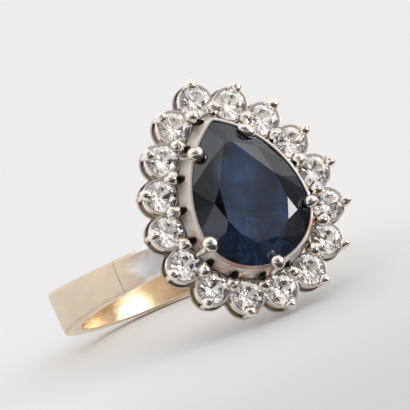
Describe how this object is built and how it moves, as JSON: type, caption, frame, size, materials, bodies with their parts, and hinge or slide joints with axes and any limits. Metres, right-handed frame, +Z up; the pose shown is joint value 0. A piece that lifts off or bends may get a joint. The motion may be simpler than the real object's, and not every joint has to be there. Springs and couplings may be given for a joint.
{
  "type": "sapphire and diamond cluster ring",
  "caption": "Cluster ring lying on its side: a pear-cut blue sapphire in a claw collet, a halo of round brilliants on a scalloped gallery, and a flat tapered band.",
  "frame": {"origin": "centre of the box's underside, on the surface that the ring lies on", "axes": "+Z up from the surface, -Y the side that the stones face, +Y towards the back of the band, +X the wearer's right across the head when seen from the stones' side"},
  "size_m": [0.0195, 0.027, 0.0163],
  "materials": {
    "yellow_gold": "polished, finely scratched",
    "white_gold": "polished, a little satin on the collet",
    "sapphire": "polished facets",
    "diamond": "polished facets"
  },
  "bodies": {
    "root": {"shank": "yellow_gold", "setting": "white_gold", "sapphire": "sapphire", "diamond_01": "diamond", "diamond_02": "diamond", "diamond_03": "diamond", "diamond_04": "diamond", "diamond_05": "diamond", "diamond_06": "diamond", "diamond_07": "diamond", "diamond_08": "diamond", "diamond_09": "diamond", "diamond_10": "diamond", "diamond_11": "diamond", "diamond_12": "diamond", "diamond_13": "diamond", "diamond_14": "diamond", "diamond_15": "diamond", "diamond_16": "diamond"}
  },
  "joints": []
}
